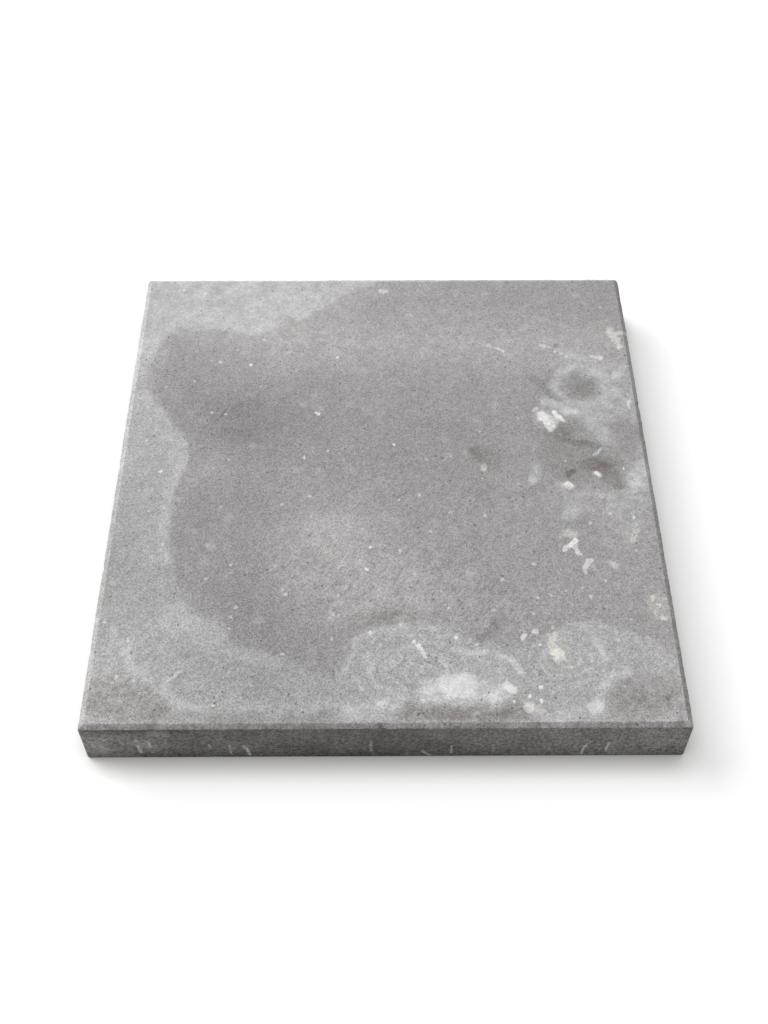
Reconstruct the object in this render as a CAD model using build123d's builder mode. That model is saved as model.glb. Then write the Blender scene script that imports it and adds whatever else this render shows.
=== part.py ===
from build123d import *
import os

# Square concrete paving slab, cast in one piece and lying on its bed face.
# The origin is the middle of the bed face, +Z is up, and lengths are in millimetres.

# Driving dimensions of the slab
slab_width = 450.0
slab_depth = 450.0
slab_thickness = 50.0

# Chamfer pressed round the walking face: its reach in plan and its drop down the sides
chamfer_run = 4.0
chamfer_drop = 2.5

# Corners and lower arris left by the mould
upright_corner_radius = 2.0
bed_arris_radius = 1.0

with BuildPart() as slab:
    # Block of concrete with square corners
    with BuildSketch(Plane.XY):
        Rectangle(slab_width, slab_depth)
    extrude(amount=slab_thickness)

    # Four bevels round the walking face, which meet in mitres at the corners
    walking_face = slab.faces().sort_by(Axis.Z)[-1]
    chamfer(walking_face.edges(), length=chamfer_run, length2=chamfer_drop, reference=walking_face)

    # The mould rounds the upright corners, through the ends of the mitres too
    with BuildSketch(Plane.XY):
        RectangleRounded(slab_width, slab_depth, upright_corner_radius)
    extrude(amount=slab_thickness, mode=Mode.INTERSECT)

    # Rubbed lower arris, all round the bed face
    bed_face = slab.faces().sort_by(Axis.Z)[0]
    fillet(bed_face.edges(), radius=bed_arris_radius)

slab.part.label = "slab"
os.makedirs("parts", exist_ok=True)
export_step(slab.part, "parts/slab.step")
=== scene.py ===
import math

import bpy
import numpy as np
from mathutils import Matrix, Vector, noise


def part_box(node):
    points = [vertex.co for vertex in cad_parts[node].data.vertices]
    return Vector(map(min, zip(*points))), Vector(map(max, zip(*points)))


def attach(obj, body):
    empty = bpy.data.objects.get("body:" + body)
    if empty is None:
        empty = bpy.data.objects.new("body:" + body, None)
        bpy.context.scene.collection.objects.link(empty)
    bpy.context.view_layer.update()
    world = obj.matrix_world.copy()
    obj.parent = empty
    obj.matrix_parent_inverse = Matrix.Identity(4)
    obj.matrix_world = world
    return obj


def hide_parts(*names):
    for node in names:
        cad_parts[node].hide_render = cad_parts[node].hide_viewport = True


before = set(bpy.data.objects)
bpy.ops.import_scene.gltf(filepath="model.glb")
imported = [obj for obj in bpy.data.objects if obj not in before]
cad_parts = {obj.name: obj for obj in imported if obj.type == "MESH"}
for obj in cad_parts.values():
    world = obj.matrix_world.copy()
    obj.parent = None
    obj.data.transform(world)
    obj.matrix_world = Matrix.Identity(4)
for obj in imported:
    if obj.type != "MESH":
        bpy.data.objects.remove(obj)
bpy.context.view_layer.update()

# Looks of a weathered concrete paving slab that lies on a white floor. Lengths are in metres.
# A share runs from 0 to 1: across the slab from its left side, and back from its near side.

# Sizes of the slab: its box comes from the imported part, and its chamfer and bed arris repeat the part's
slab_low, slab_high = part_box("slab")
slab_width, slab_depth, slab_thickness = slab_high - slab_low
half_width = slab_width / 2
chamfer_run = 0.004
chamfer_drop = 0.0025
bed_arris_radius = 0.001

# Wear and play of the mould: rubbed arrises, the pale rim along them, and sides that lean out to the bed
arris_rounding = 0.0002
rim_width = 0.0012
bed_lean = 0.0010

# Upright corners, from the near left one to the right and round: the far ones are worn rounder
corner_radii = (0.0008, 0.0010, 0.0060, 0.0045)

# Fineness of the mesh, and how many of its bands round the slab belong to the face and to the sides
cells_a_side = 256
cells_down_a_side = 16
bed_cells_a_side = 32
face_bands = 8
side_bands = cells_down_a_side + 3
rim_margin = 0.0016
bed_margin = 0.012

# Layout for baked pictures: shares of its width that the walking face, a strip for a side and the bed
# take up, and where the strips start, for the near side and round
face_share, strip_share, bed_share = 0.86, 0.060, 0.128
side_start_shares = (0.0, 0.870, 0.070, 0.940)

# Relief of the casting: how far it departs from the true faces, and over what length
broad_relief, broad_length = 0.00010, 0.090
middle_relief, middle_length = 0.00007, 0.014
fine_relief, fine_length = 0.00009, 0.0036
arris_relief, arris_length = 0.00026, 0.0050
arris_reach = 0.0035
arris_loss_share = 0.2
bed_clearance = 0.006
octave_fade, octave_step = 1.0, 2.0

# Chips out of the arrises: places across, back and up, and radius and depth as shares of the chamfer's run
chip_shares = (
    (0.495, 0.000, 0.955, 0.800, 0.300),
    (0.750, 0.000, 0.955, 0.750, 0.250),
    (0.986, 0.008, 0.985, 1.125, 0.275),
    (0.310, 0.000, 0.955, 1.000, 0.175),
    (0.120, 0.000, 0.955, 0.750, 0.150),
    (0.620, 0.000, 0.955, 0.875, 0.150),
    (0.880, 0.000, 0.955, 0.750, 0.175),
    (0.000, 0.300, 0.955, 1.000, 0.200),
    (0.000, 0.520, 0.955, 0.875, 0.175),
    (0.000, 0.140, 0.955, 0.750, 0.200),
    (1.000, 0.660, 0.955, 0.750, 0.150),
    (0.210, 0.000, 0.010, 1.125, 0.300),
    (0.640, 0.000, 0.010, 1.000, 0.250),
)

# Edge of the damp patch: from the far side, round the left lobe, to the tip near the front and away right
damp_edge_shares = (
    (0.500, 1.060), (0.480, 0.985), (0.440, 0.965), (0.410, 0.945), (0.383, 0.922), (0.359, 0.906),
    (0.339, 0.892), (0.326, 0.878), (0.315, 0.890), (0.298, 0.883), (0.278, 0.865), (0.259, 0.847),
    (0.239, 0.840), (0.219, 0.838), (0.204, 0.851), (0.177, 0.856), (0.135, 0.861), (0.101, 0.861),
    (0.078, 0.856), (0.059, 0.838), (0.042, 0.807), (0.034, 0.777), (0.030, 0.742), (0.029, 0.708),
    (0.033, 0.688), (0.054, 0.660), (0.073, 0.640), (0.092, 0.614), (0.108, 0.593), (0.122, 0.570),
    (0.129, 0.549), (0.127, 0.522), (0.121, 0.500), (0.115, 0.470), (0.111, 0.437), (0.109, 0.395),
    (0.113, 0.352), (0.124, 0.302), (0.138, 0.253), (0.155, 0.221), (0.176, 0.203), (0.216, 0.194),
    (0.228, 0.170), (0.242, 0.146), (0.266, 0.139), (0.306, 0.130), (0.330, 0.122), (0.358, 0.108),
    (0.400, 0.095), (0.424, 0.099), (0.438, 0.130), (0.448, 0.160), (0.490, 0.178), (0.550, 0.190),
    (0.600, 0.180), (0.640, 0.160), (0.680, 0.146), (0.720, 0.142), (0.760, 0.155), (0.800, 0.180),
    (0.860, 0.190), (0.920, 0.175), (1.060, 0.165), (1.060, 1.060),
)

# Soft lighter and darker clouds: middle across and back, reach across and back, and change of brightness
cloud_shares = (
    (0.120, 0.950, 0.220, 0.110, 0.300),
    (0.320, 0.950, 0.120, 0.070, 0.200),
    (0.250, 0.430, 0.070, 0.050, -0.060),
    (0.450, 0.985, 0.070, 0.035, 0.120),
    (0.020, 0.760, 0.040, 0.140, 0.180),
    (0.020, 0.560, 0.060, 0.100, 0.100),
    (0.215, 0.630, 0.085, 0.070, -0.160),
    (0.240, 0.585, 0.070, 0.035, -0.090),
    (0.330, 0.620, 0.080, 0.060, -0.080),
    (0.105, 0.575, 0.030, 0.030, 0.080),
    (0.110, 0.700, 0.070, 0.080, -0.060),
    (0.320, 0.150, 0.130, 0.110, -0.110),
    (0.250, 0.260, 0.060, 0.110, -0.110),
    (0.170, 0.360, 0.060, 0.140, -0.050),
    (0.400, 0.340, 0.090, 0.100, 0.240),
    (0.500, 0.240, 0.140, 0.060, 0.190),
    (0.430, 0.370, 0.060, 0.040, 0.090),
    (0.500, 0.300, 0.060, 0.040, 0.050),
    (0.170, 0.500, 0.040, 0.030, 0.100),
    (0.370, 0.770, 0.080, 0.040, 0.070),
    (0.300, 0.820, 0.140, 0.060, 0.150),
    (0.560, 0.830, 0.260, 0.080, 0.190),
    (0.580, 0.985, 0.100, 0.035, 0.120),
    (0.020, 0.300, 0.060, 0.110, -0.080),
    (0.300, 0.080, 0.090, 0.060, -0.060),
    (0.400, 0.030, 0.120, 0.030, -0.110),
    (0.880, 0.810, 0.120, 0.060, 0.180),
    (0.660, 0.820, 0.060, 0.040, 0.050),
    (0.930, 0.440, 0.060, 0.040, 0.110),
    (0.600, 0.580, 0.260, 0.120, -0.060),
    (0.960, 0.370, 0.040, 0.040, -0.050),
    (0.030, 0.090, 0.060, 0.090, 0.120),
    (0.110, 0.170, 0.060, 0.040, 0.070),
    (0.900, 0.050, 0.060, 0.045, -0.120),
    (0.985, 0.120, 0.030, 0.120, 0.060),
    (0.500, 0.002, 1.500, 0.010, 0.080),
    (0.930, 0.002, 0.180, 0.010, 0.130),
    (0.720, 0.100, 0.300, 0.080, -0.080),
    (0.850, 0.110, 0.120, 0.050, 0.080),
    (0.500, 0.195, 0.060, 0.014, -0.080),
)

# Where the wet paste was stirred into rings, and where it creased: middle, reach and strength
swirl_shares = (
    (0.570, 0.105, 0.140, 0.085, 1.0),
    (0.805, 0.120, 0.085, 0.075, 0.9),
    (0.893, 0.705, 0.085, 0.075, 0.2),
    (0.860, 0.560, 0.090, 0.070, 0.3),
    (0.960, 0.400, 0.120, 0.080, 0.5),
    (0.280, 0.060, 0.120, 0.060, 0.3),
)
rings_a_reach = 4.6
crease_shares = (
    (0.205, 0.635, 0.070, 0.045, 0.7),
    (0.520, 0.450, 0.250, 0.120, 0.4),
    (0.450, 0.270, 0.200, 0.080, 0.5),
    (0.700, 0.220, 0.140, 0.060, 0.6),
    (0.150, 0.555, 0.012, 0.012, 0.9),
    (0.130, 0.100, 0.130, 0.060, 0.5),
)

# Where the grain is coarser or finer: middle, reach and change of strength
coarse_shares = (
    (0.120, 0.960, 0.300, 0.120, -0.400),
    (0.500, 0.050, 0.900, 0.350, 0.150),
    (0.850, 0.500, 0.200, 0.400, -0.080),
)

# Paler and darker stretches of the near side: middle and reach across and up, and change of brightness
near_side_shares = (
    (0.020, 0.450, 0.110, 0.400, 0.300),
    (0.070, 0.930, 0.150, 0.100, -0.400),
    (0.120, 0.120, 0.050, 0.200, -0.120),
    (0.430, 0.400, 0.220, 0.900, -0.220),
    (0.900, 0.600, 0.150, 0.700, 0.200),
    # The long dark stretch low down is painted shade where the near side meets the floor
    (0.300, 0.060, 0.450, 0.180, -0.150),
    (0.760, 0.950, 0.060, 0.100, -0.060),
)

# Marks are drawn as strokes: strength, half of the width as a share, and the places that the stroke passes

# White haze left where water dried
veil_shares = (
    (0.26, 0.012, ((0.024, 0.700), (0.045, 0.668), (0.068, 0.644), (0.086, 0.614), (0.104, 0.590),
                   (0.117, 0.566))),
    (0.24, 0.030, ((0.088, 0.590), (0.106, 0.555), (0.108, 0.530))),
    (0.24, 0.015, ((0.100, 0.586), (0.112, 0.560), (0.117, 0.532), (0.112, 0.505), (0.104, 0.470),
                   (0.100, 0.430), (0.098, 0.390), (0.102, 0.350), (0.112, 0.310))),
    (0.24, 0.034, ((0.020, 0.800), (0.035, 0.845), (0.066, 0.872), (0.134, 0.878), (0.187, 0.882),
                   (0.215, 0.862), (0.245, 0.862), (0.275, 0.885), (0.304, 0.906), (0.338, 0.912))),
    (0.40, 0.022, ((0.292, 0.990), (0.303, 0.970))),
    (0.22, 0.040, ((0.139, 0.205), (0.178, 0.178), (0.205, 0.160))),
    (0.18, 0.020, ((0.230, 0.140), (0.270, 0.128), (0.310, 0.118))),
    (0.42, 0.012, ((0.035, 0.175), (0.060, 0.138), (0.076, 0.110), (0.100, 0.088), (0.130, 0.066),
                   (0.148, 0.050), (0.170, 0.038), (0.190, 0.033))),
    (0.14, 0.026, ((0.060, 0.150), (0.090, 0.110), (0.130, 0.080))),
    (0.16, 0.012, ((0.195, 0.034), (0.238, 0.036), (0.285, 0.034), (0.326, 0.030))),
    (0.22, 0.016, ((0.326, 0.028), (0.360, 0.032), (0.400, 0.040), (0.425, 0.042))),
    (0.38, 0.024, ((0.440, 0.030), (0.473, 0.033), (0.496, 0.040), (0.525, 0.050))),
    (0.85, 0.034, ((0.575, 0.060), (0.600, 0.064), (0.625, 0.068), (0.655, 0.060), (0.680, 0.054))),
    (0.48, 0.022, ((0.600, 0.078), (0.620, 0.086), (0.640, 0.084))),
    (0.60, 0.008, ((0.620, 0.136), (0.640, 0.134), (0.670, 0.131), (0.695, 0.125), (0.715, 0.113),
                   (0.727, 0.092))),
    (0.18, 0.026, ((0.660, 0.105), (0.690, 0.100), (0.705, 0.080))),
    (0.36, 0.008, ((0.528, 0.184), (0.490, 0.175), (0.452, 0.157), (0.446, 0.142), (0.440, 0.120),
                   (0.430, 0.099))),
    (0.30, 0.008, ((0.476, 0.100), (0.480, 0.113), (0.490, 0.127), (0.516, 0.138), (0.546, 0.142))),
    (0.46, 0.014, ((0.904, 0.092), (0.877, 0.085), (0.860, 0.067), (0.854, 0.045), (0.850, 0.030),
                   (0.838, 0.028))),
    (0.30, 0.016, ((0.765, 0.014), (0.789, 0.018), (0.828, 0.028))),
    (0.40, 0.008, ((0.835, 0.185), (0.850, 0.168), (0.862, 0.148), (0.869, 0.126))),
    (0.60, 0.022, ((0.820, 0.664), (0.836, 0.656), (0.852, 0.648), (0.868, 0.640))),
    (0.42, 0.026, ((0.866, 0.640), (0.888, 0.630), (0.900, 0.622))),
    (0.60, 0.026, ((0.808, 0.628), (0.816, 0.610))),
    (0.30, 0.060, ((0.880, 0.720), (0.950, 0.720), (0.960, 0.670), (0.900, 0.640))),
    (0.40, 0.018, ((0.882, 0.752), (0.850, 0.737), (0.838, 0.705), (0.848, 0.680), (0.874, 0.662),
                   (0.907, 0.660), (0.936, 0.675), (0.944, 0.705), (0.926, 0.736), (0.882, 0.750))),
    (0.26, 0.028, ((0.905, 0.615), (0.922, 0.592), (0.926, 0.566))),
    (0.42, 0.012, ((0.788, 0.510), (0.783, 0.496), (0.777, 0.480))),
    (0.62, 0.034, ((0.980, 0.500), (0.970, 0.475))),
    (0.48, 0.016, ((0.965, 0.734), (0.956, 0.728))),
    (0.40, 0.013, ((0.982, 0.753), (0.978, 0.744))),
    (0.34, 0.020, ((0.850, 0.425), (0.835, 0.403))),
    (0.26, 0.014, ((0.825, 0.470), (0.845, 0.445), (0.880, 0.452), (0.920, 0.440))),
    (0.16, 0.050, ((0.965, 0.445), (0.930, 0.420), (0.950, 0.380))),
    (0.30, 0.013, ((0.988, 0.700), (0.984, 0.650), (0.986, 0.620))),
    (0.26, 0.014, ((0.986, 0.560), (0.988, 0.520))),
    (0.24, 0.018, ((0.860, 0.800), (0.875, 0.785), (0.900, 0.775), (0.930, 0.780))),
)

# Thick white crusts and splashes
lime_shares = (
    (0.95, 0.016, ((0.809, 0.626), (0.816, 0.618), (0.822, 0.611))),
    (0.45, 0.010, ((0.822, 0.624), (0.832, 0.620))),
    (0.80, 0.012, ((0.804, 0.634), (0.810, 0.622))),
    (0.70, 0.009, ((0.818, 0.606), (0.820, 0.600))),
    (0.98, 0.008, ((0.830, 0.640), (0.838, 0.631), (0.847, 0.621))),
    (0.45, 0.005, ((0.790, 0.642), (0.798, 0.649))),
    (0.34, 0.005, ((0.712, 0.812), (0.728, 0.803))),
    (0.60, 0.005, ((0.728, 0.803), (0.743, 0.795))),
    (0.40, 0.006, ((0.820, 0.812), (0.837, 0.806))),
    (0.30, 0.004, ((0.134, 0.078), (0.146, 0.090), (0.158, 0.101))),
    (0.40, 0.005, ((0.920, 0.783), (0.934, 0.780))),
    (0.75, 0.008, ((0.936, 0.779), (0.939, 0.776))),
    (0.50, 0.005, ((0.981, 0.668), (0.980, 0.652))),
    (0.40, 0.004, ((0.912, 0.556), (0.907, 0.547), (0.897, 0.536))),
    (0.60, 0.008, ((0.494, 0.963), (0.506, 0.962))),
    (0.90, 0.009, ((0.842, 0.352), (0.839, 0.345), (0.833, 0.340))),
    (0.70, 0.007, ((0.833, 0.340), (0.822, 0.334))),
    (0.55, 0.007, ((0.841, 0.337), (0.848, 0.324))),
    (0.55, 0.007, ((0.865, 0.309), (0.856, 0.299), (0.852, 0.290), (0.853, 0.285))),
    (0.35, 0.007, ((0.901, 0.306), (0.909, 0.297))),
    (0.65, 0.007, ((0.754, 0.169), (0.758, 0.168))),
    (0.65, 0.006, ((0.734, 0.157), (0.738, 0.162))),
    (0.80, 0.007, ((0.557, 0.145), (0.561, 0.139))),
    (0.55, 0.005, ((0.561, 0.139), (0.567, 0.122))),
    (0.85, 0.013, ((0.701, 0.069), (0.709, 0.064))),
    (0.45, 0.030, ((0.605, 0.074), (0.630, 0.074))),
    (0.60, 0.012, ((0.630, 0.088), (0.638, 0.084))),
    (0.40, 0.014, ((0.838, 0.034), (0.850, 0.036))),
    (0.45, 0.012, ((0.492, 0.040), (0.498, 0.044))),
)

# Cream spots and splashes
cream_shares = (
    (0.90, 0.016, ((0.787, 0.132), (0.791, 0.124))),
    (0.60, 0.010, ((0.787, 0.160), (0.782, 0.146), (0.783, 0.138))),
    (0.70, 0.012, ((0.732, 0.036), (0.739, 0.033))),
    (0.30, 0.012, ((0.746, 0.030), (0.752, 0.028))),
    (0.95, 0.011, ((0.840, 0.472), (0.845, 0.468))),
    (0.95, 0.008, ((0.895, 0.496), (0.902, 0.493))),
    (0.55, 0.008, ((0.688, 0.513), (0.687, 0.508))),
    (0.55, 0.018, ((0.966, 0.848), (0.970, 0.836), (0.974, 0.828))),
    (0.60, 0.010, ((0.985, 0.846), (1.005, 0.842))),
    (0.60, 0.010, ((0.977, 0.815), (0.979, 0.808))),
    (0.22, 0.030, ((0.970, 0.222), (0.976, 0.208))),
    (0.80, 0.013, ((0.974, 0.223), (0.976, 0.217))),
    (0.75, 0.008, ((0.966, 0.232), (0.968, 0.236))),
    (0.70, 0.009, ((0.978, 0.200), (0.979, 0.192))),
    (0.55, 0.007, ((0.963, 0.208), (0.965, 0.204))),
    (0.40, 0.014, ((0.830, 0.366), (0.842, 0.362))),
    (0.40, 0.010, ((0.956, 0.371), (0.949, 0.361), (0.949, 0.350))),
)

# Dark dirt: blots and arcs
dirt_shares = (
    (0.56, 0.038, ((0.886, 0.708), (0.894, 0.702))),
    (0.30, 0.014, ((0.800, 0.722), (0.815, 0.706), (0.828, 0.690), (0.842, 0.672))),
    (0.22, 0.012, ((0.837, 0.742), (0.828, 0.716))),
    (0.50, 0.036, ((0.828, 0.598), (0.842, 0.588), (0.842, 0.570))),
    (0.26, 0.030, ((0.850, 0.610), (0.868, 0.606))),
    (0.60, 0.018, ((0.862, 0.568), (0.882, 0.563), (0.904, 0.557))),
    (0.82, 0.018, ((0.845, 0.496), (0.855, 0.503))),
    (0.30, 0.060, ((0.838, 0.556), (0.842, 0.536), (0.846, 0.520))),
    (0.22, 0.060, ((0.880, 0.540), (0.900, 0.530), (0.920, 0.505))),
    (0.50, 0.020, ((0.676, 0.545), (0.680, 0.537))),
    (0.22, 0.030, ((0.690, 0.545), (0.700, 0.530), (0.705, 0.515))),
    (0.50, 0.006, ((0.850, 0.812), (0.852, 0.808))),
    (0.16, 0.045, ((0.965, 0.600), (0.958, 0.560))),
    (0.28, 0.013, ((0.700, 0.190), (0.680, 0.170), (0.660, 0.155))),
)

# Brown soil in the hollows
soil_shares = (
    (0.62, 0.028, ((0.890, 0.517), (0.914, 0.512))),
    (0.50, 0.024, ((0.915, 0.497), (0.926, 0.486), (0.938, 0.474))),
    (0.28, 0.018, ((0.449, 0.186), (0.473, 0.195), (0.507, 0.199), (0.548, 0.205))),
    (0.50, 0.024, ((0.535, 0.028), (0.564, 0.026), (0.602, 0.022), (0.667, 0.022), (0.700, 0.030),
                   (0.720, 0.024))),
    (0.34, 0.050, ((0.040, 0.056), (0.080, 0.045), (0.125, 0.028))),
    (0.34, 0.050, ((0.900, 0.045), (0.960, 0.050))),
    (0.22, 0.022, ((0.170, 0.018), (0.250, 0.012), (0.400, 0.014))),
    (0.36, 0.009, ((0.004, 0.002), (0.500, 0.002), (0.996, 0.002))),
)

# How far and over what length the outlines of the marks are ruffled
ruffle_share = 0.0034
ruffle_length = 0.0070

# Pale specks of lime, some bright and some faint, and dark pits: a half width as a share, and the places
speck_half_share = 0.0080
bright_speck_strength, faint_speck_strength = 0.85, 0.45
bright_speck_shares = (
    (0.233, 0.761), (0.406, 0.780), (0.366, 0.640), (0.373, 0.638), (0.349, 0.535), (0.518, 0.565),
    (0.710, 0.044), (0.756, 0.045), (0.737, 0.054), (0.757, 0.070), (0.619, 0.160), (0.548, 0.153),
    (0.761, 0.146), (0.216, 0.039), (0.468, 0.293), (0.474, 0.338), (0.954, 0.398), (0.950, 0.507),
    (0.978, 0.802), (0.081, 0.504), (0.019, 0.190),
)
faint_speck_shares = (
    (0.079, 0.968), (0.125, 0.958), (0.256, 0.829), (0.291, 0.829), (0.153, 0.774), (0.171, 0.770),
    (0.393, 0.551), (0.062, 0.600), (0.040, 0.655), (0.193, 0.638), (0.164, 0.642), (0.475, 0.170),
    (0.686, 0.211), (0.610, 0.216), (0.787, 0.178), (0.754, 0.205), (0.655, 0.147), (0.896, 0.153),
    (0.418, 0.240), (0.765, 0.235), (0.789, 0.238), (0.102, 0.347), (0.084, 0.320), (0.227, 0.303),
    (0.228, 0.288), (0.186, 0.275), (0.306, 0.300), (0.320, 0.252), (0.326, 0.243), (0.063, 0.157),
    (0.075, 0.114), (0.081, 0.083), (0.052, 0.089), (0.411, 0.204), (0.409, 0.157), (0.326, 0.131),
    (0.242, 0.219), (0.233, 0.200), (0.362, 0.447), (0.527, 0.330), (0.620, 0.410), (0.582, 0.371),
    (0.564, 0.450), (0.552, 0.284), (0.707, 0.270), (0.683, 0.404), (0.764, 0.303), (0.816, 0.224),
    (0.859, 0.238), (0.888, 0.269), (0.873, 0.387), (0.911, 0.407), (0.847, 0.794), (0.858, 0.791),
    (0.870, 0.783), (0.310, 0.429),
)
pit_half_share = 0.0044
pit_shares = (
    (0.037, 0.343), (0.266, 0.281), (0.122, 0.032), (0.278, 0.088), (0.340, 0.057), (0.544, 0.256),
    (0.677, 0.278), (0.664, 0.383), (0.660, 0.334), (0.810, 0.454), (0.304, 0.800), (0.219, 0.043),
    (0.560, 0.024), (0.553, 0.022), (0.650, 0.018), (0.595, 0.006), (0.908, 0.004),
)

# Pale drips down the near side: strength, half width, and places given as a share across and a share up
drip_shares = (
    (0.90, 0.0050, ((0.090, 0.620), (0.091, 0.400), (0.091, 0.160))),
    (0.70, 0.0045, ((0.107, 0.560), (0.109, 0.400), (0.111, 0.180))),
    (0.18, 0.0200, ((0.088, 0.550), (0.112, 0.300))),
    (0.60, 0.0045, ((0.240, 0.440), (0.241, 0.120))),
    (0.40, 0.0040, ((0.207, 0.460), (0.208, 0.300))),
    (0.45, 0.0070, ((0.265, 0.400), (0.268, 0.280))),
    (0.90, 0.0045, ((0.269, 0.320), (0.272, 0.080))),
    (0.55, 0.0040, ((0.475, 0.540), (0.475, 0.160))),
    (0.85, 0.0045, ((0.560, 0.200), (0.567, 0.120), (0.575, 0.040))),
    (0.55, 0.0040, ((0.609, 0.400), (0.609, 0.100))),
    (0.90, 0.0045, ((0.827, 0.050), (0.829, 0.240), (0.832, 0.400))),
    (0.85, 0.0045, ((0.867, 0.160), (0.868, 0.300), (0.870, 0.460))),
    (0.30, 0.0045, ((0.677, 0.420), (0.680, 0.150))),
    (0.35, 0.0045, ((0.438, 0.300), (0.446, 0.290))),
    (0.20, 0.0200, ((0.022, 0.450), (0.030, 0.250))),
    (0.16, 0.0200, ((0.120, 0.850), (0.135, 0.800))),
)


def srgb(red, green, blue):
    """The linear colour of three 8-bit screen values."""
    shares = np.array((red, green, blue)) / 255.0
    linear = np.where(shares <= 0.04045, shares / 12.92, ((shares + 0.055) / 1.055) ** 2.4)
    return (*(float(value) for value in linear), 1.0)


# Curves and distances in plan

# Keeps a division clear of zero
tiny = 1e-12


def smooth_line(points, steps=4):
    """Places along a curve that passes smoothly through given points."""
    points = np.array(points, float)
    last = len(points) - 1
    places = []
    for i in range(last):
        before, start = points[max(i - 1, 0)], points[i]
        end, after = points[i + 1], points[min(i + 2, last)]
        for share in np.linspace(0.0, 1.0, steps, endpoint=False):
            bend = (2 * before - 5 * start + 4 * end - after) * share**2
            bend += (3 * start - before - 3 * end + after) * share**3
            places.append(start + ((end - before) * share + bend) / 2)
    return np.array([*places, points[-1]])


def distance_to(places, line):
    """How far each place is from a chain of straight runs."""
    nearest = np.full(len(places), np.inf)
    for start, end in zip(line[:-1], line[1:]):
        run = end - start
        share = np.clip((places - start) @ run / max(run @ run, tiny), 0.0, 1.0)
        nearest = np.minimum(nearest, np.linalg.norm(places - start - share[:, None] * run, axis=1))
    return nearest


def inside(places, line):
    """Whether each place is inside a closed chain of straight runs."""
    within = np.zeros(len(places), bool)
    for start, end in zip(line, np.roll(line, -1, axis=0)):
        spans = (start[1] > places[:, 1]) != (end[1] > places[:, 1])
        rise = end[1] - start[1] or 1.0
        crossing = start[0] + (places[:, 1] - start[1]) * (end[0] - start[0]) / rise
        within ^= spans & (places[:, 0] < crossing)
    return within


def soft_strokes(places, strokes):
    """How strongly each place is marked: the strongest of the strokes over it, which fade to their edges."""
    field = np.zeros(len(places))
    for strength, half_share, points in strokes:
        gap = distance_to(places, smooth_line(points)) / half_share
        field = np.maximum(field, strength * np.clip(1.0 - gap**2, 0.0, 1.0) ** 1.5)
    return field


def crisp_strokes(places, strokes):
    """How deep each place is in its deepest stroke, 1 on the line and 0 at the edge, and its strength."""
    depth = np.full(len(places), -np.inf)
    cover = np.zeros(len(places))
    for strength, half_share, points in strokes:
        here = 1.0 - distance_to(places, smooth_line(points)) / half_share
        cover = np.where(here > depth, strength, cover)
        depth = np.maximum(depth, here)
    return np.clip(depth, -1.0, 1.0), cover


def blobs(places, table):
    """The sum of soft round blobs over each place."""
    field = np.zeros(len(places))
    for across, back, reach_across, reach_back, strength in table:
        far = np.hypot((places[:, 0] - across) / reach_across, (places[:, 1] - back) / reach_back)
        field += strength * np.exp(-(far**2))
    return field


def swirls(places, table):
    """How far each place is from the nearest swirl's middle, in reaches, and how strongly it was stirred."""
    turns = np.full(len(places), np.inf)
    stirred = np.zeros(len(places))
    for across, back, reach_across, reach_back, strength in table:
        far = np.hypot((places[:, 0] - across) / reach_across, (places[:, 1] - back) / reach_back)
        stirred = np.where(far < turns, strength * np.exp(-(far**2)), stirred)
        turns = np.minimum(turns, far)
    return turns, stirred


def dots(strength, half_share, points):
    """A stroke for each dot."""
    return [(strength, half_share, (point, point)) for point in points]


# Mesh of the slab

# Half of the turn round an upright corner, which each of its two sides takes
half_corner = math.pi / 4


def outline(inset):
    """Plan of the slab drawn in by an inset: x and y for each column, from the near left corner round."""
    sides = []
    for side in range(4):
        start, end = corner_radii[side], corner_radii[(side + 1) % 4]
        start_arc = max(start - inset, 0.0)
        end_arc = max(end - inset, 0.0)
        left = max(start, inset) - half_width
        right = half_width - max(end, inset)
        first, last = left - start_arc * half_corner, right + end_arc * half_corner
        run = np.linspace(first, last, cells_a_side, endpoint=False)
        start_turn = np.where(run < left, (left - run) / max(start_arc, tiny), 0.0)
        end_turn = np.where(run > right, (run - right) / max(end_arc, tiny), 0.0)
        along = np.clip(run, left, right) - start_arc * np.sin(start_turn) + end_arc * np.sin(end_turn)
        out = half_width - inset
        out = out - start_arc * (1 - np.cos(start_turn)) - end_arc * (1 - np.cos(end_turn))
        turn = math.pi / 2 * side
        x = along * math.cos(turn) + out * math.sin(turn)
        y = along * math.sin(turn) - out * math.cos(turn)
        sides.append(np.column_stack([x, y]))
    return np.vstack(sides)


def chamfer_height(plan):
    """Height of the mitred chamfers over places in plan."""
    past_rim = np.abs(plan).max(axis=1) - (half_width - chamfer_run)
    return slab_thickness - chamfer_drop / chamfer_run * np.maximum(past_rim, 0.0)


def side_rings():
    """Rings of places from the walking face's rim, over the chamfer, down the sides and under the bed."""
    rings = []
    rim_insets = [chamfer_run + step * arris_rounding for step in (3, 1, -1, -3)]
    for inset in (*rim_insets, chamfer_run / 2, 3 * arris_rounding, arris_rounding):
        plan = outline(inset)
        rings.append(np.column_stack([plan, chamfer_height(plan)]))
    arris = chamfer_height(outline(0.0)) - arris_rounding
    support_share = 2 * arris_rounding / slab_thickness
    for share in (0.0, support_share, *np.linspace(0.0, 1.0, cells_down_a_side + 1)[1:]):
        height = arris + (bed_arris_radius - arris) * share
        rings.append(np.column_stack([outline(-bed_lean * share), height]))
    for angle in (math.pi / 4, math.pi / 2):
        plan = outline(bed_arris_radius * (1 - math.cos(angle)) - bed_lean)
        height = bed_arris_radius * (1 - math.sin(angle))
        rings.append(np.column_stack([plan, np.full(len(plan), height)]))
    plan = outline(bed_margin)
    rings.append(np.column_stack([plan, np.zeros(len(plan))]))
    return rings


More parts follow.
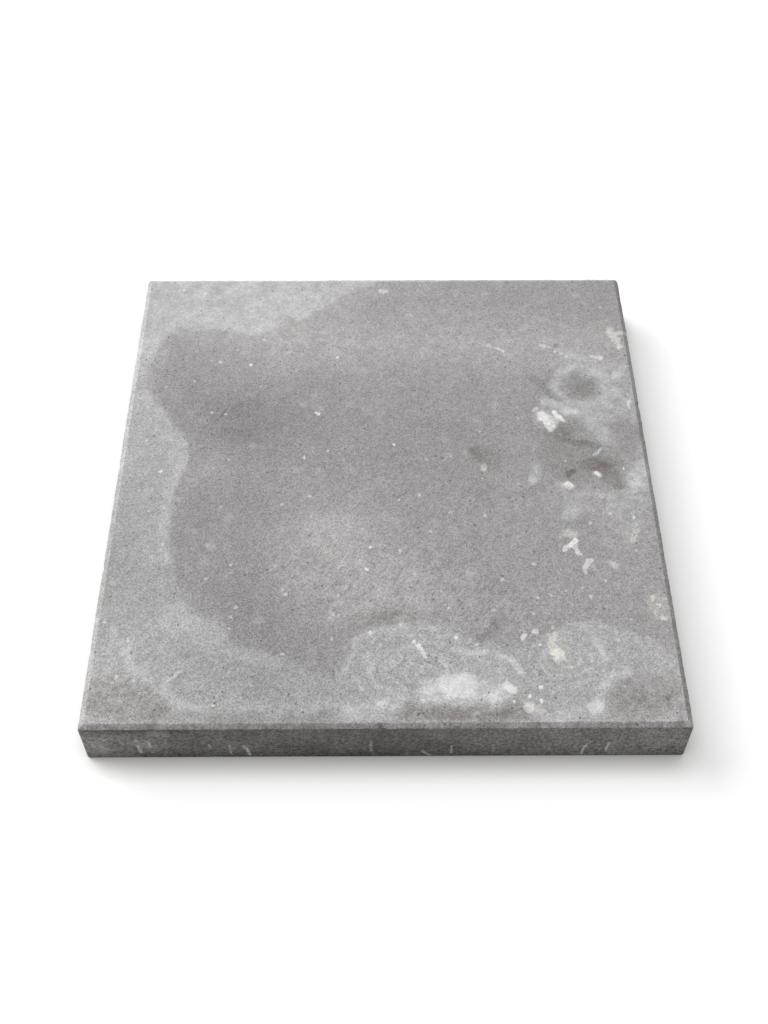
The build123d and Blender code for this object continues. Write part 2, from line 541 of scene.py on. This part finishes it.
def grid_ring(cells):
    """Numbers of the outer points of a square grid, counted row by row, from the near left corner round."""
    row = cells + 1
    near = list(range(cells))
    right = [i * row + cells for i in range(cells)]
    far = [cells * row + cells - i for i in range(cells)]
    left = [(cells - i) * row for i in range(cells)]
    return near + right + far + left


def square_grid(half, cells, height):
    """Places of a square grid, row by row from the near side."""
    line = np.linspace(-half, half, cells + 1)
    across, back = np.meshgrid(line, line)
    return np.column_stack([across.ravel(), back.ravel(), np.full(across.size, height)])


def grid_faces(cells, first):
    """Faces of a square grid whose points are counted row by row from a first number."""
    row = cells + 1
    corners = [first + j * row + i for j in range(cells) for i in range(cells)]
    return [(corner, corner + 1, corner + row + 1, corner + row) for corner in corners]


def band_faces(upper, lower):
    """Faces between two rings of points."""
    count = len(upper)
    return [(upper[i], lower[i], lower[(i + 1) % count], upper[(i + 1) % count]) for i in range(count)]


def bed_faces(ring, first):
    """Faces of the bed: a coarse grid whose outer cells take in every point of the ring round it."""
    inner = bed_cells_a_side - 2
    step = cells_a_side // bed_cells_a_side
    inner_ring = [first + number for number in grid_ring(inner)]
    faces = [face[::-1] for face in grid_faces(inner, first)]
    for side in range(4):
        for cell in range(bed_cells_a_side - 1):
            start = side * cells_a_side + cell * step
            back = step if cell == 0 else 0
            outer = [ring[(start + i) % len(ring)] for i in range(-back, step + 1)]
            corner = side * inner + cell
            within = [inner_ring[number % len(inner_ring)] for number in (corner, corner - 1)]
            faces.append(tuple((outer + (within if cell else within[:1]))[::-1]))
    return faces


def slab_mesh():
    """The slab's true shape as places and faces."""
    top = square_grid(half_width - chamfer_run - rim_margin, cells_a_side, slab_thickness)
    places = [top]
    faces = grid_faces(cells_a_side, 0)
    upper = grid_ring(cells_a_side)
    first = len(top)
    for ring in side_rings():
        lower = list(range(first, first + len(ring)))
        faces += band_faces(upper, lower)
        places.append(ring)
        first += len(ring)
        upper = lower
    bed_step = 2 * (half_width - bed_margin) / bed_cells_a_side
    places.append(square_grid(half_width - bed_margin - bed_step, bed_cells_a_side - 2, 0.0))
    faces += bed_faces(upper, first)
    return np.vstack(places), faces


def rough(places, length, seed, octaves=2):
    """Smooth random values about zero that vary over a length, one for each place, unlike for each seed."""
    scaled = [Vector(place) / length for place in places + seed]
    return np.array([noise.fractal(place, octave_fade, octave_step, octaves) for place in scaled])


def weathered(places, normals):
    """The places with a casting's relief and with rubbed and chipped arrises. The bed stays flat."""
    out = np.abs(places[:, :2]).max(axis=1)
    from_arris = np.hypot(half_width - out, slab_thickness - chamfer_drop - places[:, 2])
    near_arris = np.clip(1.0 - from_arris / arris_reach, 0.0, 1.0)
    relief = broad_relief * rough(places, broad_length, 0)
    relief += middle_relief * rough(places, middle_length, 1)
    relief += fine_relief * rough(places, fine_length, 2)
    relief += arris_relief * near_arris * (rough(places, arris_length, 3, 3) - arris_loss_share)
    for across, back, up, radius_share, depth_share in chip_shares:
        middle = np.array((across - 0.5, back - 0.5, up)) * (slab_width, slab_depth, slab_thickness)
        gap = np.linalg.norm(places - middle, axis=1) / (radius_share * chamfer_run)
        relief -= depth_share * chamfer_run * np.clip(1.0 - gap**2, 0.0, 1.0)
    clear_of_bed = np.clip(places[:, 2] / bed_clearance, 0.0, 1.0)
    return places + normals * (relief * clear_of_bed)[:, None]


def add_mesh(name, places, faces):
    """A smooth-shaded mesh object in the scene."""
    mesh = bpy.data.meshes.new(name)
    mesh.from_pydata(places.tolist(), [], faces)
    mesh.shade_smooth()
    made = bpy.data.objects.new(name, mesh)
    bpy.context.scene.collection.objects.link(made)
    return made


def vertex_normals(mesh):
    """Normals of a mesh's points."""
    values = np.empty(len(mesh.vertices) * 3, np.float32)
    mesh.vertices.foreach_get("normal", values)
    return values.reshape(-1, 3).astype(float)


def add_field(mesh, name, values):
    """One number for each point of a mesh, which a material can read by name."""
    mesh.attributes.new(name, "FLOAT", "POINT").data.foreach_set("value", values.astype(np.float32))


def add_crisp_fields(mesh, name, places, strokes):
    """The two fields of strokes that have crisp edges."""
    depth, cover = crisp_strokes(places, strokes)
    add_field(mesh, name, depth)
    add_field(mesh, name + "_cover", cover)


def add_fields(mesh, places):
    """The fields that say where the slab is damp, cloudy and marked."""
    plan = places[:, :2] / slab_width + 0.5
    edge = smooth_line(damp_edge_shares)
    gap = distance_to(plan, edge) * slab_width
    add_field(mesh, "damp_depth", np.where(inside(plan, edge), gap, -gap))
    add_field(mesh, "cloud", blobs(plan, cloud_shares))
    turns, stirred = swirls(plan, swirl_shares)
    add_field(mesh, "swirl_turns", turns)
    add_field(mesh, "swirl", stirred)
    add_field(mesh, "crease", blobs(plan, crease_shares))
    add_field(mesh, "coarse", blobs(plan, coarse_shares))

    # Marks with ruffled outlines, and then specks and pits
    ruffles = np.column_stack([rough(places, ruffle_length, seed) for seed in (4, 5)])
    ruffled = plan + ruffle_share * ruffles
    add_field(mesh, "veil", soft_strokes(ruffled, veil_shares))
    add_field(mesh, "soil", soft_strokes(ruffled, soil_shares))
    add_crisp_fields(mesh, "lime", ruffled, lime_shares)
    add_crisp_fields(mesh, "cream", ruffled, cream_shares)
    add_crisp_fields(mesh, "dirt", ruffled, dirt_shares)
    specks = dots(bright_speck_strength, speck_half_share, bright_speck_shares)
    specks += dots(faint_speck_strength, speck_half_share, faint_speck_shares)
    add_crisp_fields(mesh, "speck", plan, specks)
    add_field(mesh, "pit", soft_strokes(plan, dots(1.0, pit_half_share, pit_shares)))

    # The near side, where the share up is drawn to the scale of the share across
    up = places[:, 2] / slab_thickness
    thin = slab_thickness / slab_width
    on_near_side = plan[:, 1] < 0.5 * chamfer_run / slab_width
    drips = [(strength, half_share, [(across, rise * thin) for across, rise in points])
             for strength, half_share, points in drip_shares]
    depth, cover = crisp_strokes(np.column_stack([plan[:, 0], up * thin]), drips)
    add_field(mesh, "drip", depth)
    add_field(mesh, "drip_cover", cover * on_near_side)
    add_field(mesh, "near_side", blobs(np.column_stack([plan[:, 0], up]), near_side_shares) * on_near_side)
    # Where the sides' grain is made stronger, on the near side, which lies in shade
    add_field(mesh, "shaded_side_grain", on_near_side)

    # The walking face with its chamfers, and the chamfers alone
    arris = slab_thickness - chamfer_drop
    add_field(mesh, "walking", np.clip((places[:, 2] - arris) / arris_rounding + 1.0, 0.0, 1.0))
    past_rim = np.abs(places[:, :2]).max(axis=1) - (half_width - chamfer_run)
    add_field(mesh, "bevel", np.clip(past_rim / arris_rounding, 0.0, 1.0))
    add_field(mesh, "rim", np.clip(1.0 - np.abs(past_rim) / rim_width, 0.0, 1.0))


def add_bake_map(mesh, places):
    """A flat layout for baked pictures: the walking face large, the sides in strips, the bed small."""
    shares = places / (slab_width, slab_depth, slab_thickness) + (0.5, 0.5, 0.0)
    corners = np.empty(len(mesh.loops), np.int32)
    mesh.loops.foreach_get("vertex_index", corners)
    sizes = np.empty(len(mesh.polygons), np.int32)
    mesh.polygons.foreach_get("loop_total", sizes)
    face = np.repeat(np.arange(len(sizes)), sizes)
    across, back, up = shares[corners].T
    layout = np.column_stack([face_share * across, 1.0 - face_share * (1.0 - back)])

    # Sides: a strip below the walking face for the near and far ones, and right of it for the others
    first_side = cells_a_side**2 + face_bands * 4 * cells_a_side
    column = (face - first_side) % (4 * cells_a_side)
    second_column = np.arange(len(corners)) % 4 // 2
    along = (column % cells_a_side + second_column) / cells_a_side
    for side, start in enumerate(side_start_shares):
        strip = start + strip_share * up
        strips = [face_share * along, strip] if side % 2 == 0 else [strip, 1.0 - face_share * (1.0 - along)]
        chosen = (face >= first_side) & (column // cells_a_side == side)
        layout[chosen] = np.column_stack(strips)[chosen]

    # Bed
    first_bed = first_side + side_bands * 4 * cells_a_side
    bed = np.column_stack([1.0 - bed_share * across, bed_share * back])
    layout[face >= first_bed] = bed[face >= first_bed]
    mesh.uv_layers.new(name="OFBake").uv.foreach_set("vector", layout.astype(np.float32).ravel())


def make_slab():
    """The weathered slab, with the fields that its material reads."""
    places, faces = slab_mesh()
    slab = add_mesh("weathered_slab", places, faces)
    moved = weathered(places, vertex_normals(slab.data))
    slab.data.vertices.foreach_set("co", moved.astype(np.float32).ravel())
    slab.data.update()
    add_fields(slab.data, places)
    add_bake_map(slab.data, places)
    return slab


# Materials, where n stands for the nodes of the material or world that is being made

white = (1.0, 1.0, 1.0, 1.0)
no_stretch = (1.0, 1.0, 1.0)


class Nodes:
    """Short names for the nodes of one material or world."""

    def __init__(self, holder):
        holder.use_nodes = True
        self.tree = holder.node_tree
        self.tree.nodes.clear()

    def add(self, kind, inputs, **settings):
        """A node with its settings, and with each input set to a value or linked to a socket."""
        made = self.tree.nodes.new(kind)
        for name, value in settings.items():
            setattr(made, name, value)
        for name, value in inputs.items():
            if isinstance(value, bpy.types.NodeSocket):
                self.tree.links.new(value, made.inputs[name])
            else:
                made.inputs[name].default_value = value
        return made

    def position(self, stretch=no_stretch, turn=0.0):
        """Place on the piece, for a pattern stretched along its axes and turned about the upright one."""
        place = self.add("ShaderNodeTexCoord", {}).outputs["Object"]
        inputs = {"Vector": place, "Rotation": (0.0, 0.0, turn), "Scale": stretch}
        return self.add("ShaderNodeMapping", inputs, vector_type="TEXTURE").outputs["Vector"]

    def noise(self, length, detail=2.0, rough=0.5, stretch=no_stretch, turn=0.0):
        """Random values between 0 and 1 that vary over a length."""
        place = self.position(stretch, turn)
        inputs = {"Vector": place, "Scale": 1 / length, "Detail": detail, "Roughness": rough}
        return self.add("ShaderNodeTexNoise", inputs).outputs["Fac"]

    def cells(self, length):
        """Cells about a length across: a random value for each, and how far its middle is, in cells."""
        made = self.add("ShaderNodeTexVoronoi", {"Vector": self.position(), "Scale": 1 / length})
        chance = self.add("ShaderNodeSeparateColor", {"Color": made.outputs["Color"]}).outputs["Red"]
        return chance, made.outputs["Distance"]

    def field(self, name):
        """A field of the piece's mesh."""
        return self.add("ShaderNodeAttribute", {}, attribute_name=name).outputs["Fac"]

    def maths(self, operation, first, second=0.0, third=0.0):
        """The result of an operation on one, two or three values."""
        inputs = {0: first, 1: second, 2: third}
        return self.add("ShaderNodeMath", inputs, operation=operation).outputs["Value"]

    def about(self, value, change):
        """A factor about 1 that goes half of a change either way as a value goes from 0 to 1."""
        return self.maths("MULTIPLY_ADD", value, change, 1.0 - change / 2)

    def product(self, *values):
        """Several values multiplied."""
        result = values[0]
        for value in values[1:]:
            result = self.maths("MULTIPLY", result, value)
        return result

    def ramp(self, value, low, high, start=0.0, end=1.0):
        """A smooth step from start to end as a value goes from low to high."""
        inputs = {"Value": value, "From Min": low, "From Max": high, "To Min": start, "To Max": end}
        return self.add("ShaderNodeMapRange", inputs, interpolation_type="SMOOTHSTEP").outputs["Result"]

    def mix(self, share, first, second):
        """Two colours mixed by a share."""
        made = self.add("ShaderNodeMix", {0: share, 6: first, 7: second}, data_type="RGBA")
        return made.outputs[2]

    def shade(self, colour, value):
        """A colour times a value."""
        colour = colour if isinstance(colour, bpy.types.NodeSocket) else colour[:3]
        made = self.add("ShaderNodeVectorMath", {0: colour, "Scale": value}, operation="SCALE")
        return made.outputs["Vector"]


def add_material(piece, name):
    """A new material on a piece, and its nodes."""
    material = bpy.data.materials.new(name)
    piece.data.materials.append(material)
    return Nodes(material)


# Colours of the concrete and of the marks on it
dry_grey = srgb(173, 172, 172)
damp_grey = srgb(159, 157, 157)
side_grey = srgb(148, 145, 140)
bevel_grey = srgb(173, 172, 171)
veil_white = srgb(216, 216, 217)
lime_white = srgb(238, 238, 236)
cream_white = srgb(234, 231, 222)
dirt_grey = srgb(104, 103, 99)
soil_brown = srgb(112, 102, 97)
pit_black = srgb(78, 74, 70)
drip_white = srgb(242, 241, 236)

# Lengths over which the patterns of the concrete vary
sand_length, dust_length, grit_length, lump_length = 0.00085, 0.00090, 0.0026, 0.0050
blotch_length, mottle_length, sweep_length = 0.0090, 0.030, 0.010
damp_wander, damp_wander_length = 0.016, 0.0080
damp_soft = 0.0025
wobble_length, fold_length = 0.018, 0.0030
puff_length, ragged_length, wear_length = 0.0090, 0.0042, 0.0032
streak_length, stain_length, crumb_length = 0.0050, 0.018, 0.0030
speck_spacing, freckle_spacing, pit_spacing = 0.012, 0.014, 0.0055
# Height over which the sides darken towards the floor: painted contact shade
contact_shade_height = 0.0030
bump_height = 0.0006
sweep_turn = math.radians(-40)
swept, folded, streaked = (1.0, 5.0, 1.0), (1.0, 3.5, 1.0), (1.0, 1.0, 6.0)


class Concrete:
    """Patterns that several parts of the concrete share."""

    def __init__(self, n):
        self.walking = n.field("walking")
        self.bevel = n.field("bevel")
        self.sand, _ = n.cells(sand_length)
        self.dust = n.noise(dust_length, 2.0, 0.7)
        self.lumps = n.noise(lump_length, 2.0, 0.6)
        self.puffs = n.noise(puff_length, 4.0, 0.6)
        self.ragged = n.maths("SUBTRACT", n.noise(ragged_length, 4.0, 0.7), 0.5)
        pit_chance, pit_gap = n.cells(pit_spacing)
        pits = n.product(n.ramp(pit_chance, 0.64, 0.90), n.ramp(pit_gap, 0.20, 0.10))
        self.pits = n.maths("MAXIMUM", pits, n.ramp(n.field("pit"), 0.3, 0.7))


def mark(n, parts, name, ragged, low, high):
    """How strongly a crisp mark covers each place: it has a ragged edge, from a low to a high depth."""
    depth = n.maths("MULTIPLY_ADD", parts.ragged, ragged, n.field(name))
    return n.product(n.ramp(depth, low, high), n.field(name + "_cover"))


def grain(n, parts):
    """Light and dark grains of sand, as a factor of brightness."""
    grit, _ = n.cells(grit_length)
    sanded = n.product(n.about(parts.sand, 0.52), n.about(parts.dust, 0.58))
    sanded = n.product(sanded, n.about(grit, 0.08), n.about(parts.lumps, 0.14))
    strength = n.maths("ADD", n.field("coarse"), 1.0)
    strength = n.maths("MULTIPLY_ADD", parts.bevel, 0.10, strength)
    strength = n.maths("MULTIPLY_ADD", n.field("veil"), -0.50, strength)
    return n.maths("MULTIPLY_ADD", n.maths("SUBTRACT", sanded, 1.0), strength, 1.0)


def bare_face(n, parts, damp):
    """The walking face and its chamfers: a damp patch on dry concrete, clouded and creased."""
    colour = n.mix(damp, dry_grey, damp_grey)
    colour = n.mix(parts.bevel, colour, bevel_grey)
    mottle = n.noise(mottle_length, 4.0, 0.6)
    blotch = n.noise(blotch_length, 3.0, 0.6)
    sweeps = n.noise(sweep_length, 3.0, 0.6, swept, sweep_turn)
    cloud = n.maths("MULTIPLY_ADD", n.field("cloud"), n.ramp(parts.puffs, 0.30, 0.70, 0.70, 1.30), 1.0)
    clouded = n.product(cloud, n.about(mottle, 0.22), n.about(blotch, 0.22), n.about(sweeps, 0.16))
    folds = n.ramp(n.noise(fold_length, 2.0, 0.5, folded, sweep_turn), 0.52, 0.68)
    creased = n.maths("MULTIPLY_ADD", n.product(folds, n.field("crease")), -0.36, 1.0)
    return n.shade(colour, n.product(clouded, creased))


def hazed(n, parts, colour):
    """Haze of dried lime, in rings where the paste was stirred, and then soil and dirt."""
    flecked = n.product(n.ramp(parts.puffs, 0.30, 0.68, 0.40, 1.35), n.about(parts.dust, 0.6))
    wobble = n.maths("MULTIPLY_ADD", n.noise(wobble_length, 2.0, 0.5), 0.45, n.field("swirl_turns"))
    rings = n.maths("SINE", n.maths("MULTIPLY", wobble, 2 * math.pi * rings_a_reach))
    ringed = n.product(n.ramp(rings, 0.0, 1.0, 0.0, 0.34), n.field("swirl"), flecked)
    colour = n.mix(ringed, colour, veil_white)
    chance, gap = n.cells(freckle_spacing)
    freckles = n.product(n.ramp(chance, 0.45, 1.0, 0.0, 0.20), n.ramp(gap, 0.50, 0.10), flecked)
    colour = n.mix(n.maths("MAXIMUM", n.product(n.field("veil"), flecked), freckles), colour, veil_white)
    rubbed = n.product(n.ramp(n.field("rim"), 0.3, 0.9), n.ramp(parts.puffs, 0.35, 0.60, 0.05, 0.22))
    colour = n.mix(rubbed, colour, veil_white)
    soil = n.product(n.field("soil"), n.ramp(parts.puffs, 0.70, 0.34, 0.35, 1.35))
    colour = n.mix(soil, colour, soil_brown)
    return n.mix(mark(n, parts, "dirt", 1.0, -0.10, 0.75), colour, dirt_grey)


def side_face(n, parts):
    """The sides: darker, streaked by the mould, stained and dripped on, with painted shade along the bottom.
    """
    streaks = n.noise(streak_length, 3.0, 0.6, streaked)
    stains = n.noise(stain_length, 4.0, 0.65)
    crumbs = n.noise(crumb_length, 2.0, 0.6)
    near_side = n.maths("ADD", n.field("near_side"), 1.0)
    patchy = n.product(near_side, n.about(streaks, 0.4), n.about(stains, 1.2))
    # Painted shade: the sides darken by a quarter towards the floor, over the last few millimetres
    upright = n.add("ShaderNodeSeparateXYZ", {"Vector": n.position()}).outputs["Z"]
    patchy = n.product(patchy, n.ramp(upright, 0.0, contact_shade_height, 0.75, 1.0))
    crumbly = n.product(n.about(crumbs, 1.8), n.about(parts.sand, 0.8), n.about(parts.dust, 1.1))
    # The near side lies in shade: a shaded copy of the sides' grain, made stronger to show in low light
    shaded_side_grain = n.maths("MULTIPLY_ADD", n.field("shaded_side_grain"), 0.42, 0.58)
    crumbly = n.maths("MULTIPLY_ADD", n.maths("SUBTRACT", crumbly, 1.0), shaded_side_grain, 1.0)
    colour = n.shade(side_grey, n.product(patchy, crumbly))
    dripped = n.shade(drip_white, n.product(n.about(parts.sand, 0.5), n.about(parts.dust, 1.2)))
    return n.mix(mark(n, parts, "drip", 1.3, 0.20, 0.75), colour, dripped)


def crusted(n, parts, colour):
    """Thick marks that hide the grain: cream and lime splashes, pale specks and dark pits."""
    worn = n.product(n.ramp(n.noise(wear_length, 3.0, 0.65), 0.32, 0.54, 0.55, 1.0), parts.walking)
    cream = n.product(mark(n, parts, "cream", 1.6, 0.10, 0.70), worn)
    colour = n.mix(cream, colour, n.shade(cream_white, n.about(parts.sand, 0.16)))
    lime = n.product(mark(n, parts, "lime", 0.9, 0.15, 0.60), worn)
    colour = n.mix(lime, colour, n.shade(lime_white, n.about(parts.sand, 0.14)))
    speck = n.product(mark(n, parts, "speck", 1.4, 0.40, 0.75), parts.walking)
    colour = n.mix(speck, colour, lime_white)
    chance, gap = n.cells(speck_spacing)
    crumb = n.product(n.ramp(chance, 0.40, 0.95, 0.0, 0.60), n.ramp(gap, 0.13, 0.06), parts.walking)
    colour = n.mix(crumb, colour, veil_white)
    return n.mix(n.maths("MULTIPLY", parts.pits, 0.60), colour, pit_black)


def finish_concrete(slab):
    """Weathered grey concrete: sand grain, clouds, a damp patch, and marks of lime, cream and dirt."""
    n = add_material(slab, "weathered_concrete")
    parts = Concrete(n)
    drift = n.noise(damp_wander_length, 4.0, 0.6)
    wander = n.maths("MULTIPLY_ADD", drift, damp_wander, n.field("damp_depth"))
    damp = n.ramp(wander, damp_wander / 2 - damp_soft, damp_wander / 2 + damp_soft)
    face = n.shade(hazed(n, parts, bare_face(n, parts, damp)), grain(n, parts))
    colour = crusted(n, parts, n.mix(parts.walking, side_face(n, parts), face))

    # Small relief under the grain
    height = n.maths("MULTIPLY_ADD", parts.dust, 0.7, n.maths("MULTIPLY", parts.lumps, 0.4))
    height = n.maths("MULTIPLY_ADD", parts.pits, -0.8, height)
    relief = {"Strength": 0.45, "Distance": bump_height, "Height": height}
    bump = n.add("ShaderNodeBump", relief).outputs["Normal"]
    roughness = n.maths("MULTIPLY_ADD", damp, -0.07, 0.95)
    surface = {"Base Color": colour, "Roughness": roughness, "Normal": bump, "Specular IOR Level": 0.25}
    shader = n.add("ShaderNodeBsdfPrincipled", surface).outputs["BSDF"]
    n.add("ShaderNodeOutputMaterial", {"Surface": shader})


# Stage, light and camera

floor_size = 12.0
floor_gap = 0.0002
floor_bounce = srgb(210, 210, 210)
floor_seen = (0.46, 0.46, 0.46, 1.0)
# Painted contact shadow: near the slab, ambient occlusion dims the floor's glow and warms its colours
floor_glow = 0.66
contact_reach = 0.022
contact_samples = 16
contact_falloff = 1.4
shadow_glow_tint = (0.94, 0.925, 0.86, 1.0)
floor_shadow_grey = (0.46, 0.45, 0.415, 1.0)
light_from = Vector((-0.77, 0.49, 0.77))
light_spread = math.radians(40)
light_strength = 3.70
sky_strength = 0.24

# Camera of the photograph: its place, how it was held, its lens and long side in mm, and its shift
camera_place = Vector((-0.00472, -0.60984, 0.93102))
camera_tilt = math.radians(40.444)
camera_turn = math.radians(-0.387)
camera_roll = math.radians(0.124)
camera_lens = 44.43
camera_long_side = 36.0
camera_shift_share = -0.1631


def seen_ray(n):
    """1 for rays from the camera, also by way of a mirror or glass, and 0 for rays that light things."""
    path = n.add("ShaderNodeLightPath", {})
    mirrored = n.maths("MAXIMUM", path.outputs["Is Glossy Ray"], path.outputs["Is Transmission Ray"])
    return n.maths("MAXIMUM", path.outputs["Is Camera Ray"], mirrored)


def add_floor():
    """A white floor: to the camera it glows a little, less so in a painted contact shadow in the crease
    under the slab.
    """
    places = square_grid(floor_size / 2, 1, slab_low.z - floor_gap)
    floor = add_mesh("floor", places, grid_faces(1, 0))
    n = add_material(floor, "floor_white")
    # Painted contact shadow: ambient occlusion near the slab dims the glow and warms its tint and colour
    contact = n.add("ShaderNodeAmbientOcclusion", {"Distance": contact_reach}, samples=contact_samples)
    open_sky = contact.outputs["AO"]
    tint = n.mix(open_sky, shadow_glow_tint, white)
    strength = n.maths("MULTIPLY", n.maths("POWER", open_sky, contact_falloff), floor_glow)
    glow = n.add("ShaderNodeEmission", {"Color": tint, "Strength": strength}).outputs["Emission"]
    shown = n.mix(open_sky, floor_shadow_grey, floor_seen)
    lit = n.add("ShaderNodeBsdfDiffuse", {"Color": shown}).outputs["BSDF"]
    seen = n.add("ShaderNodeAddShader", {0: lit, 1: glow}).outputs["Shader"]
    bounce = n.add("ShaderNodeBsdfDiffuse", {"Color": floor_bounce}).outputs["BSDF"]
    mixed = n.add("ShaderNodeMixShader", {0: seen_ray(n), 1: bounce, 2: seen}).outputs["Shader"]
    n.add("ShaderNodeOutputMaterial", {"Surface": mixed})


def add_light():
    """One broad lamp from the left and behind, and a weak even sky that looks white."""
    lamp = bpy.data.lights.new("key", "SUN")
    lamp.energy = light_strength
    lamp.angle = light_spread
    key = bpy.data.objects.new("key", lamp)
    key.rotation_euler = light_from.to_track_quat("Z", "Y").to_euler()
    bpy.context.scene.collection.objects.link(key)
    world = bpy.data.worlds.new("studio")
    bpy.context.scene.world = world
    n = Nodes(world)
    strength = n.ramp(seen_ray(n), 0.0, 1.0, sky_strength, 1.0)
    sky = n.add("ShaderNodeBackground", {"Color": white, "Strength": strength}).outputs["Background"]
    n.add("ShaderNodeOutputWorld", {"Surface": sky})


def add_camera():
    """The photograph's camera."""
    lens = bpy.data.cameras.new("photo")
    lens.lens = camera_lens
    lens.sensor_width = camera_long_side
    lens.shift_y = camera_shift_share
    camera = bpy.data.objects.new("photo", lens)
    turned = Matrix.Rotation(camera_turn, 4, "Z") @ Matrix.Rotation(camera_tilt, 4, "X")
    camera.matrix_world = Matrix.Translation(camera_place) @ turned @ Matrix.Rotation(camera_roll, 4, "Z")
    bpy.context.scene.collection.objects.link(camera)
    bpy.context.scene.camera = camera


slab = make_slab()
finish_concrete(slab)
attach(slab, "root")
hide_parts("slab")

add_floor()
add_light()
add_camera()
bpy.context.scene.view_settings.view_transform = "Standard"
